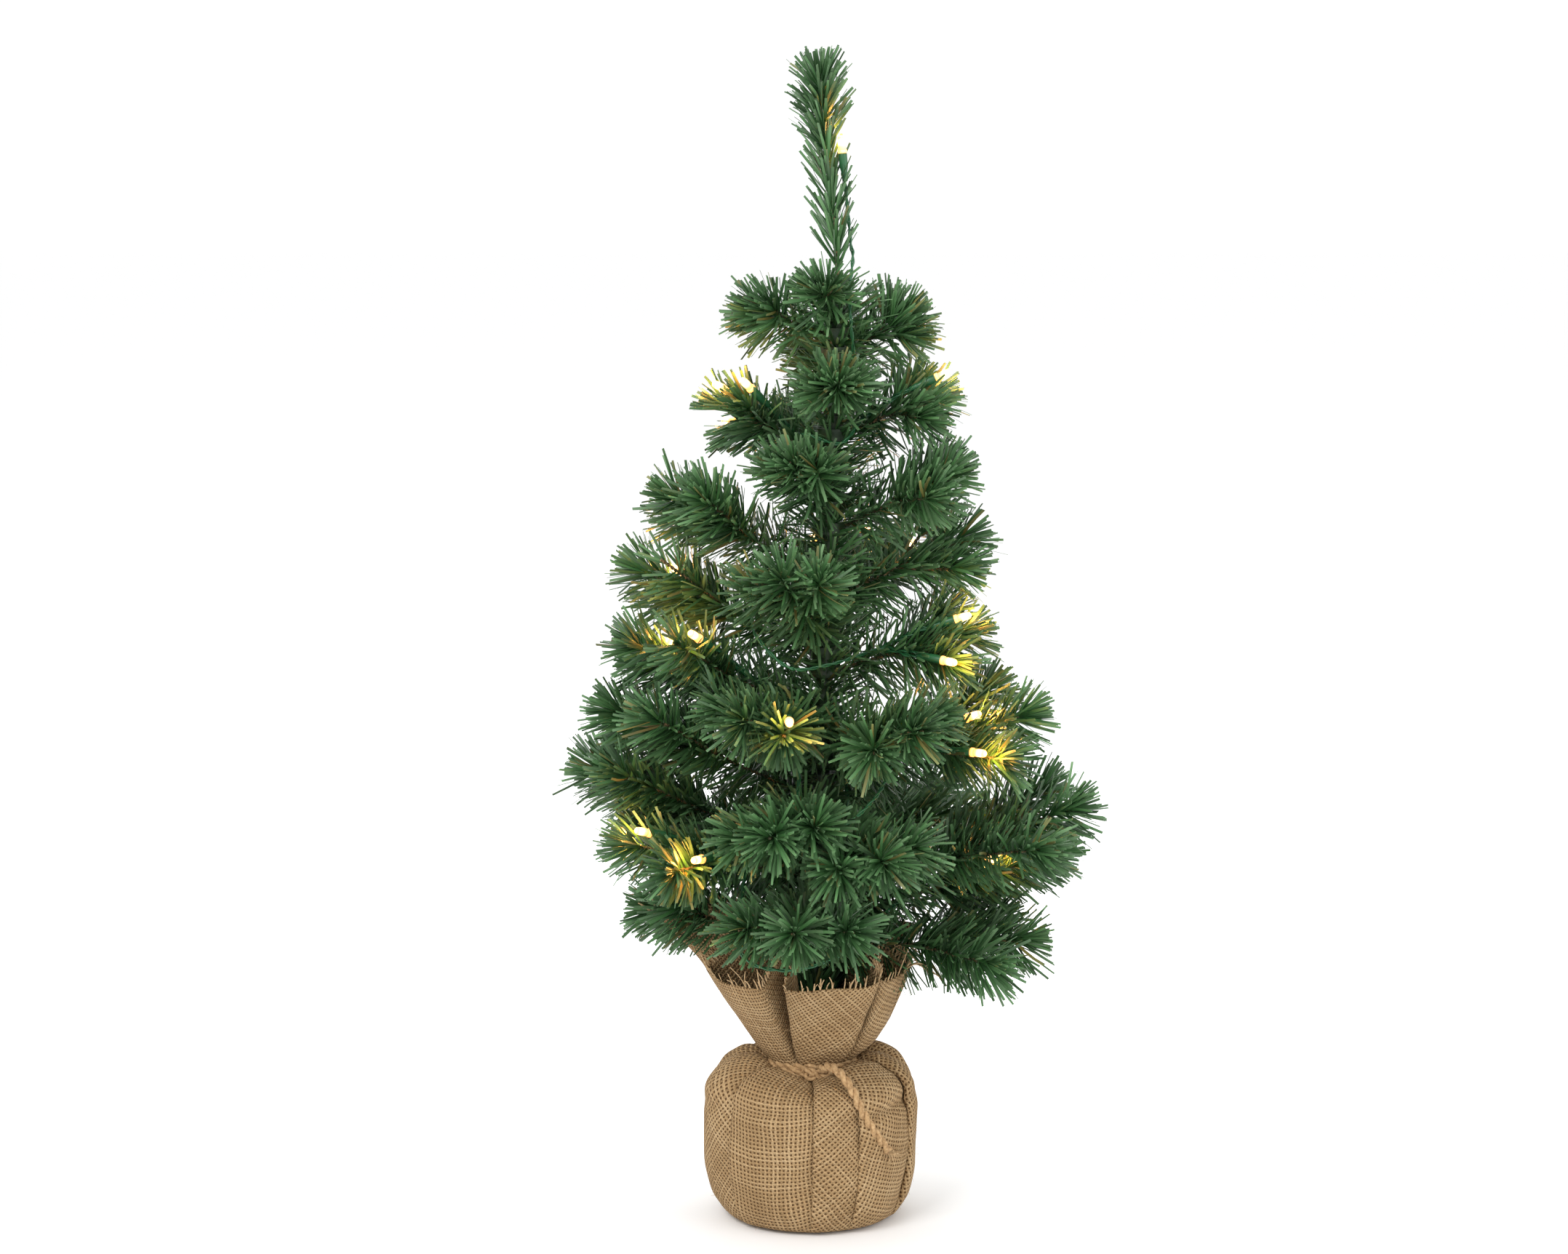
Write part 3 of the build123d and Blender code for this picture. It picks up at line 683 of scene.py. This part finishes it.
lamp_bodies = sorted({lamp[0] for lamp in LAMPS})
for number in lamp_bodies:
    body = "leader" if number == 0 else f"branch_{number:02d}"
    tag = "leader" if number == 0 else f"{number:02d}"
    holder, collar, lens = Mesh(), Mesh(), Mesh()
    glows = []
    for lamp in LAMPS:
        if lamp[0] != number:
            continue
        p, d, _ = lamp_place(lamp)
        turned(holder, p, d, HOLDER_SHAPE, EVEN)
        turned(collar, p, d, COLLAR_SHAPE, EVEN)
        ends = (LENS_LIGHT[0], LENS_LIGHT[-1])
        heart = np.concatenate([np.repeat(LENS_LIGHT, SIDES), ends]) * rng.uniform(0.75, 1.0)
        turned(lens, p, d, LENS_SHAPE, np.stack([heart] * 3 + [heart * 0 + 1], -1))
        glows.append(lamp_glow("glow_" + tag, (p + d * GLOW_AT) * MM))
    made = [holder.make("lamp_holder_" + tag, HOLDER, True),
            collar.make("lamp_collar_" + tag, COLLAR, True),
            lens.make("lamp_lens_" + tag, LENS, True)]
    for o in made:
        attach(o, body)
    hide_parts("leader_lamp" if number == 0 else f"lamps_{number:02d}")
    for spot in glows:
        spot.parent = made[2]
        spot.matrix_parent_inverse = made[2].matrix_world.inverted()

# ---------------------------------------------------------------- the light string
STRING_R = 0.00066        # each of its two insulated wires, and how far they stand from its middle
STRING_PITCH = 0.019      # one turn of the twist
STRING_STEP = 0.0016
# Where a span goes round the trunk or hangs free between two branches, in millimetres.
BETWEEN = {
    (7, 3): [(-46, -66, 190), (-16, -70, 177), (22, -58, 186), (40, -36, 200)],
    (3, 14): [(30, -22, 238), (24, -20, 270)],
    (14, 17): [(40, -52, 284), (14, -74, 268), (-10, -70, 274), (-8, -40, 300)],
    (17, 18): [(-10, -14, 337)],
    (18, 20): [(-14, 9, 366)],
    (20, 19): [(-34, -40, 384), (-14, -46, 366), (12, -30, 366)],
    (19, 22): [(28, 6, 374)],
    (22, 28): [(-2, 10, 470), (-4, 8, 490)],
    (28, 29): [(-4, -22, 512), (18, -26, 506)],
    (29, 0): [(24, -22, 588), (26, -2, 622)],
}


def string_end(lamp, way):
    """The string from a lamp's holder back along its branch; way is 1 going on, -1 coming in."""
    p, d, u = lamp_place(lamp)
    w = np.cross(u, d)
    if lamp[0] == 0:
        return [p + w * 0.9 * way, p - d * 12 + w * way, p - d * 40 + w * way]
    branch = BRANCHES[lamp[0] - 1]
    fork = FORK * (branch[2] - HINGE_R)
    main, t, n = along(branch)
    root = hinge_point(branch)
    out = [p + w * 0.9 * way, p - d * 8 + w * 1.4 * way]
    s = min(fork - 7, lamp[2] - 14) if lamp[1] == 0 else fork - 7
    return out + [root + main * s + n * 5.0 + t * 3.0 * way]


def string_root(number, way):
    """Where the string lies on a branch near the trunk."""
    main, t, n = along(BRANCHES[number - 1])
    return hinge_point(BRANCHES[number - 1]) + main * 15 + n * 4.6 + t * 3.0 * way


string_mesh = {n: Mesh() for n in lamp_bodies}


def string_path(route):
    return smooth_path(np.asarray(route) * MM, STRING_STEP)


def lay_string(number, path, phase):
    """Adds a twisted pair along a path to the string piece of one branch."""
    strands(string_mesh[number], path, 2, STRING_R, STRING_R, STRING_PITCH, EVEN, 6, phase)


for i, (a, b) in enumerate(zip(LAMPS, LAMPS[1:])):
    go, come = string_end(a, 1), string_end(b, -1)
    if a[0] == b[0]:
        mid = 0.5 * (go[-1] + come[-1]) - along(BRANCHES[a[0] - 1])[0] * 4
        lay_string(a[0], string_path(go[:-1] + [mid] + come[-2::-1]), i)
        continue
    mids = [np.array(q, float) for q in BETWEEN[(a[0], b[0])]]
    whole = go + ([string_root(a[0], 1)] if len(mids) < 3 else []) + mids
    if b[0] and len(mids) < 3:
        whole.append(string_root(b[0], -1))
    whole += come[::-1]
    path = string_path(whole)
    # each half goes with its own branch, and the two meet in the middle of the free points
    middle = np.mean(mids, axis=0) * MM
    cut = int(np.argmin(np.linalg.norm(path - middle, axis=1)))
    lay_string(a[0], path[:cut + 1], i)
    lay_string(b[0], path[cut:], i + 2 * pi * (cut * STRING_STEP) / STRING_PITCH)

for number in lamp_bodies:
    tag = "leader" if number == 0 else f"{number:02d}"
    o = string_mesh[number].make("string_" + tag, WIRE, True)
    if number == 0:
        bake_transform(o)
    else:
        branch = BRANCHES[number - 1]
        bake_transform(o)
    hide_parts("light_wire")

# ---------------------------------------------------------------- the burlap sack
# One square of cloth, its corners cut back, taken up round the weight. Along it from its
# middle: radius and height of the surface that shows.
PROFILE = np.array([
    (0, 0.7), (30, 0.7), (49, 0.9), (56, 4), (61, 15), (64.5, 34), (66, 56), (65.5, 74), (62.5, 87),
    (56, 97), (46, 103), (36, 103.5), (29, 99.5), (25.6, 97), (26.2, 101), (30, 108), (38, 119),
    (47, 132), (55.5, 145), (63, 157), (70, 168), (80, 181), (98, 199), (122, 214), (140, 224)])
steps = np.concatenate([[0], np.cumsum(np.linalg.norm(np.diff(PROFILE, axis=0), axis=1))])
# steps holds how far along the cloth each of those points is
NECK, RIM_HEIGHT = 13, 163.5   # the point under the tie, and the height of the rim
NECK_S = steps[NECK]
RIM_S = float(np.interp(RIM_HEIGHT, PROFILE[NECK:, 1], steps[NECK:]))
LOWEST = 0.7              # keeps the cloth's outer face off the floor
WEAVE_TURN = 25           # the yarns' direction, degrees
# Each tuck: azimuth on the bag and on the flare, how deep it is on the bag, at the neck and at
# the rim, and how far it gapes at the rim in millimetres.
TUCKS = [(-140, -172, 0.9, 1, 0.9, 4), (-90, -112, 1, 1, 0.9, 14), (-64, -46, 0.9, 1, 0.25, 2),
         (-22, -10, 0.8, 1, 0.9, 5), (8, 16, 0.8, 1, 0.9, 3), (40, 40, 0.9, 1, 0.6, 3),
         (80, 66, 1, 1, 0.12, 2), (118, 106, 0.9, 1, 0.12, 2), (150, 138, 0.8, 1, 0.6, 3),
         (180, 164, 0.8, 1, 0.9, 3)]
# Slack folds under the shoulder: azimuth in radians, half width, start, dent and bulge.
SLACK = [(-0.74, 0.42, 5, 4.2, 4.6), (-1.98, 0.24, 8, 3.0, 1.8),
         (-2.75, 0.30, 3, 3.0, 2.6), (1.2, 0.40, 6, 3.0, 3.0)]
turns = np.array(TUCKS + [(TUCKS[0][0] + 360, TUCKS[0][1] + 360, *TUCKS[0][2:])], float)


def ease(x):
    """0 to 1, starting and ending gently."""
    x = np.clip(x, 0, 1)
    return x * x * (3 - 2 * x)


def gathered(th, s):
    """Where the cloth at angle th, a distance s from its middle, lies round the weight."""
    r = np.interp(s, steps, PROFILE[:, 0])
    z = np.interp(s, steps, PROFILE[:, 1])
    fine = np.arange(0, steps[-1], 1.0)
    pr, pz = (np.convolve(np.pad(np.interp(fine, steps, PROFILE[:, i]), 6, "edge"),
                          np.ones(13) / 13, "valid") for i in (0, 1))
    dr, dz = np.interp(s, fine, np.gradient(pr)), np.interp(s, fine, np.gradient(pz))
    size = np.hypot(dr, dz)
    out_r, out_z = dz / size, -dr / size
    flare = ease((s - NECK_S + 14) / 30)
    edges = np.radians(turns[:, 0])
    k = np.clip(np.searchsorted(edges, th, side="right") - 1, 0, len(TUCKS) - 1)

    def tuck(i):
        """Azimuth, depth and gape of tuck i at this distance."""
        az = np.radians(turns[i, 0] * (1 - flare) + turns[i, 1] * flare)
        up = ease((s - NECK_S) / (RIM_S - NECK_S))
        deep = np.where(s < NECK_S, turns[i, 2] + (turns[i, 3] - turns[i, 2])
                        * ease((s - steps[8]) / (NECK_S - steps[8])),
                        turns[i, 3] + (turns[i, 4] - turns[i, 3]) * up)
        return az, deep, 1.6 + (turns[i, 5] - 1.6) * up * (s > NECK_S)

    az0, deep0, gap0 = tuck(k)
    az1, deep1, gap1 = tuck(k + 1)
    half = (edges[k + 1] - edges[k]) * s / 2
    u = (th - (edges[k] + edges[k + 1]) / 2) * s
    panel = np.minimum((az1 - az0) * r / 2, half)
    spare = half - panel
    room = np.interp(s, [0, steps[3], steps[5], steps[8], steps[10], steps[12], NECK_S, NECK_S + 8,
                         RIM_S, steps[-1]],
                     [0, 2, 26, 30, 30, 26, 19, 22, 54, 54])
    room = np.where(s > NECK_S, np.minimum(room, r - 7), room)
    depth = np.minimum(room * np.where(u > 0, deep1, deep0), spare + 0.01)
    v = np.clip((np.abs(u) - panel) / np.maximum(spare, 0.3), 0, 1) * depth
    lean = np.radians(np.interp(s, [steps[7], steps[9], steps[11], NECK_S, RIM_S],
                                [84, 62, 34, 10, 6]))
    in_tuck = np.abs(u) > panel
    across = np.clip(u / np.maximum(panel, 0.1), -1, 1)
    step_up = 3.4 * np.sin(lean) * ease((s - steps[2]) / 25)
    lift = np.where(in_tuck, np.where(u > 0, 0, 0.45 * step_up), step_up * (0.5 - 0.5 * across))
    swell = np.interp(s, [steps[3], steps[6], steps[9], steps[11], NECK_S, RIM_S],
                      [0, 1.2, 3.6, 3.0, 0.4, 1.6])
    lift = lift + swell * (1 - across ** 2) * (0.7 + 0.5 * np.sin(5.1 * k)) * (~in_tuck)
    lift = lift + ease((s - steps[2]) / 25) * (0.5 * np.sin(s / 9 + 7 * th) + 0.4 * np.sin(
        s / 15 - 11 * th + 1))
    gap = np.where(u > 0, gap1, gap0) * np.cos(lean)
    inset = np.where(u > 0, -1, 1) * np.minimum(0.5 * gap, 0.3 * panel) / np.maximum(r, 5)
    az = np.where(in_tuck, np.where(u > 0, az1, az0) + inset,
                  (az0 + az1) / 2 + u / np.maximum(r, 0.5)
                  + inset * np.abs(across) ** 3)
    az = az + v * np.sin(lean) / np.maximum(r, 5)
    off = lift - v * np.cos(lean)
    for where, wide, low, dent, bulge in SLACK:
        turn_to = (az - where + pi) % (2 * pi) - pi
        reach = np.exp(-(turn_to / wide) ** 2) * (s < NECK_S)
        start = steps[7] + low + 5 * turn_to
        off = off + reach * (bulge * np.exp(-((s - start - 11) / 8) ** 2)
                             - dent * np.exp(-((s - start) / 3.6) ** 2))
    top = np.clip((z - 104) / 6, 0, 1) * flare
    off = off + top * np.clip(np.cos(az), 0, 1) * np.interp(z, [108, 119, 132, 145, 157, 168],
                                                         [2, 5, 4, 0, -3, -6])
    front = np.exp(-((az + 1.62) / 0.62) ** 2)
    z = z - front * np.interp(s, [steps[7], steps[8], steps[9], steps[10], steps[11], steps[12],
                                  NECK_S], [0, 2, 6, 10, 9, 4, 0])
    r, z = r + off * out_r, z + off * out_z
    z = np.maximum(z, LOWEST)
    return np.stack([r * np.cos(az), r * np.sin(az), z], -1)


COLS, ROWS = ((420, 118))
theta = radians(TUCKS[0][0]) + (np.arange(COLS) + 0.5) * 2 * pi / COLS
off_side = (theta + radians(WEAVE_TURN) + pi / 4) % (pi / 2) - pi / 4
# how much of each corner of the square is left, from none to all
corner = np.array([0.20, 0.30, 0.62, 0.0])[
    np.floor((np.degrees(theta) + WEAVE_TURN) / 90).astype(int) % 4]
rim = RIM_S * (1 + (1 / np.cos(off_side) - 1) * corner) + 1.2 * np.sin(17 * theta) \
    + 0.8 * np.sin(41 * theta)
rows = np.linspace(0.02, 1, ROWS) ** 0.92      # a little closer together at the rim
S = rows[:, None] * rim[None]
T = np.broadcast_to(theta[None], S.shape)
points = gathered(T, S)
for _ in range(2):        # folded cloth has no sharp edge
    points = (np.roll(points, 1, 1) + 1.4 * points + np.roll(points, -1, 1)) / 3.4
points[1:-1] = (points[:-2] + 2 * points[1:-1] + points[2:]) / 4
points[..., 2] = np.maximum(points[..., 2], LOWEST)
verts = [(0, 0, LOWEST)] + points.reshape(-1, 3).tolist()
TURNED = T + radians(WEAVE_TURN)
flat = np.stack([S * np.cos(TURNED), S * np.sin(TURNED)], -1)
uvs = np.concatenate([[(0, 0)], flat.reshape(-1, 2)])
faces = [(0, 1 + k, 1 + (k + 1) % COLS) for k in range(COLS)]
for i in range(ROWS - 1):
    for k in range(COLS):
        a, b = 1 + i * COLS + k, 1 + i * COLS + (k + 1) % COLS
        faces.append((a, a + COLS, b + COLS, b))
me = bpy.data.meshes.new("burlap")
me.from_pydata((np.array(verts) * MM).tolist(), [], faces)
layer = me.uv_layers.new(name="cloth")
loops = np.empty(len(me.loops), dtype=np.int32)
me.loops.foreach_get("vertex_index", loops)
layer.data.foreach_set("uv", (uvs[loops] * MM).astype(np.float32).ravel())
me.materials.append(BURLAP)
me.polygons.foreach_set("use_smooth", [True] * len(me.polygons))
burlap = bpy.data.objects.new("burlap", me)
scene.collection.objects.link(burlap)
thick = burlap.modifiers.new("thickness", "SOLIDIFY")
thick.thickness = CLOTH
thick.offset = -1
bpy.context.view_layer.objects.active = burlap
burlap.select_set(True)
bpy.ops.object.modifier_apply(modifier="thickness")
burlap.select_set(False)
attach(burlap, "base")
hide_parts("burlap_sack")

# frayed ends along the rim, a few long loose threads, and fuzz
FRAY_ENDS, LONG_THREADS = 640, 9
FUZZ = 900
fray = Mesh()
for _ in range(FRAY_ENDS):
    i = int(rng.integers(0, COLS))
    base = points[-1, i]
    down = points[-4, i]
    d = unit(base - down)
    length = rng.uniform(4, 9) if rng.random() < 0.93 else rng.uniform(10, 20)
    side = rng.normal(0, 0.35, 3)
    q = [base - d * 1.0, base + d * length * 0.5 + side * length * 0.15,
         base + d * length + side * length * 0.6]
    path = smooth_path(np.array(q), 0.8)
    r = np.linspace(0.60, 0.30, len(path)) * rng.uniform(0.7, 1.2)
    tube(fray, path * MM, r * MM, EVEN, 5)
right = [i for i in range(COLS) if points[-1, i, 0] > 50 and points[-1, i, 1] < 0]
for _ in range(LONG_THREADS):
    base = points[-1, right[int(rng.integers(0, len(right)))]]
    reach = rng.uniform(12, 24)
    drop = rng.uniform(-0.5, 0.7)
    q = [base - (1.5, 0, 1.0), base + (reach * 0.45, -3, reach * 0.25),
         base + (reach, -4, -reach * drop * 0.5)]
    tube(fray, smooth_path(np.array(q), 1.2) * MM, 0.4 * MM, EVEN, 5)
fray_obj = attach(fray.make("frayed_rim", THREAD, True), "base")

fuzz = Mesh()
for _ in range(FUZZ):
    i, j = int(rng.integers(20, ROWS - 1)), int(rng.integers(0, COLS))
    base = points[i, j]
    out = unit((base[0], base[1], 0.0) + rng.normal(0, 6, 3))
    length = rng.uniform(2, 6)
    bow = rng.normal(0, 0.6, 3)
    q = [base - out * 0.6, base + out * length * 0.5 + bow * length * 0.2,
         base + out * length * 0.7 + bow * length * 0.6]
    q = [(x[0], x[1], max(x[2], 0.8)) for x in q]
    tube(fuzz, smooth_path(np.array(q), 0.9) * MM, 0.07 * MM, EVEN, 3)
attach(fuzz.make("burlap_fuzz", THREAD), "base")

# ---------------------------------------------------------------- the tie
tie = Mesh()
WRAPS, TIE_LOW, TIE_RISE = 3.0, 96.8, 7.6
TIE_START = 1.4           # radians, where the winding starts
a = np.linspace(0, 2 * pi * WRAPS, 380)
tie_r = 29.4 + 0.6 * np.sin(2.3 * a)
wraps = np.stack([tie_r * np.cos(a - TIE_START), tie_r * np.sin(a - TIE_START),
                  TIE_LOW + TIE_RISE * a / (2 * pi * WRAPS) + 0.8 * np.sin(2 * a)], -1)
strands(tie, wraps * MM, 2, 0.00132, 0.00150, 0.015, EVEN, 8)
k = np.linspace(0, 1, 60)
knot = np.stack([3 + 7 * np.sin(2 * pi * k), -31.6 - 1.6 * np.cos(4 * pi * k) - 1.5 * k,
                 100.3 + 2.4 * np.sin(4 * pi * k)], -1)
strands(tie, knot * MM, 2, 0.00125, 0.0014, 0.015, EVEN, 8)
tie_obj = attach(tie.make("tie", JUTE, True), "base")
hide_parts("jute_tie")

tail = Mesh()
strands(tail, tail_path, 2, 0.00140, 0.00175, 0.016, EVEN, 8)
tail_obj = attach(tail.make("tie_end", JUTE, True), "base")
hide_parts("jute_tail")
whiskers = Mesh()
d_end = unit(tail_path[-1] - tail_path[-3])
END_WHISKERS, SIDE_WHISKERS = 70, 160
for _ in range(END_WHISKERS):
    side = rng.normal(0, 0.33, 3)
    b0 = tail_path[-1] - d_end * 0.003 + rng.normal(0, 0.0009, 3)
    L = rng.uniform(0.004, 0.010)
    tube(whiskers, smooth_path([b0, b0 + d_end * L * 0.6, b0 + (d_end + side) * L], 0.0012),
         0.00016, EVEN, 4)
for _ in range(SIDE_WHISKERS):
    i = int(rng.integers(0, len(tail_path) - 1))
    b0 = tail_path[i] + rng.normal(0, 0.0010, 3)
    out = rng.normal(0, 1, 3)
    out = out / np.linalg.norm(out)
    L = rng.uniform(0.002, 0.005)
    tube(whiskers, smooth_path([b0, b0 + out * L * 0.6, b0 + out * L * 0.8 + d_end * L * 0.5],
                               0.001), 0.00007, EVEN, 3)
whisker_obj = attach(whiskers.make("tie_whiskers", THREAD), "base")


# ---------------------------------------------------------------- CAD pieces shown as they are
def dress(name, material):
    """Gives a CAD node, shown in its own shape, a material."""
    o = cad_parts[name]
    o.data.materials.clear()
    o.data.materials.append(material)


def tape_material():
    """Green tape wound up the trunk, ridged turn by turn and browned in places."""
    m, nt, b = new_material("wound_tape")
    coord = nt.nodes.new("ShaderNodeTexCoord").outputs["Object"]
    ridges = node(nt, "ShaderNodeTexWave", {"Scale": 42.0, "Distortion": 1.2, "Detail": 2.0},
                  bands_direction="Z")
    link(nt, coord, ridges.inputs["Vector"])
    link(nt, ramp(nt, noise(nt, 90), [(0.3, (0.012, 0.040, 0.014)), (0.6, (0.030, 0.060, 0.022)),
                                      (0.8, (0.090, 0.065, 0.030))]), b.inputs["Base Color"])
    b.inputs["Roughness"].default_value = 0.45
    bump(nt, b, ridges.outputs["Fac"], 0.6, 0.0006)
    return m


dress("trunk_wrap", tape_material())
dress("trunk_pole", plain("rod_steel", (0.42, 0.43, 0.44), 0.3, 1500, 0.1, 1.0))
dress("weight_cup", plain("cup_plastic", (0.03, 0.03, 0.03), 0.4, 700, 0.1))
dress("cement_weight", plain("cement", (0.36, 0.34, 0.31), 0.95, 260, 0.8, 0.0, 0.3))
dress("battery_case", plain("pack_case", (0.010, 0.038, 0.014), 0.5, 2600, 0.25))
dress("battery_door", plain("pack_door", (0.012, 0.042, 0.016), 0.5, 2600, 0.25))
dress("switch_slider", plain("switch_cap", (0.01, 0.01, 0.01), 0.4, 2000, 0.2))
dress("timer_board", plain("circuit_board", (0.012, 0.12, 0.04), 0.4, 600, 0.2))
dress("battery_cells", plain("cell_jacket", (0.03, 0.03, 0.035), 0.25, 300, 0.05))
dress("battery_contacts", plain("contact_metal", (0.70, 0.70, 0.70), 0.2, 1500, 0.1, 1.0))

# ---------------------------------------------------------------- floor, light, world
floor_mat, _, b = new_material("floor")
b.inputs["Base Color"].default_value = (0.94, 0.94, 0.94, 1)
b.inputs["Roughness"].default_value = 0.7
bpy.ops.mesh.primitive_plane_add(size=60, location=(0, 3.0, -0.0004))
floor = bpy.context.object
floor.name = "floor"
floor.data.materials.append(floor_mat)

world = bpy.data.worlds.new("world")
scene.world = world
world.use_nodes = True
world.node_tree.nodes["Background"].inputs[0].default_value = (1, 1, 1, 1)
world.node_tree.nodes["Background"].inputs[1].default_value = 1.06


def area(name, where, size, power):
    """A soft light that faces the tree."""
    data = bpy.data.lights.new(name, "AREA")
    data.energy, data.size = power, size
    o = bpy.data.objects.new(name, data)
    scene.collection.objects.link(o)
    o.location = where
    o.rotation_euler = (Vector((0, 0, 0.38)) - Vector(where)).to_track_quat("-Z", "Y").to_euler()
    return o


area("key", (-1.5, -2.2, 2.4), 1.4, 55)
area("fill", (2.2, -1.6, 1.2), 1.8, 22)
area("top", (0.2, 0.6, 2.6), 1.6, 22)
scene.view_settings.view_transform = "Standard"
scene.view_settings.look = "None"
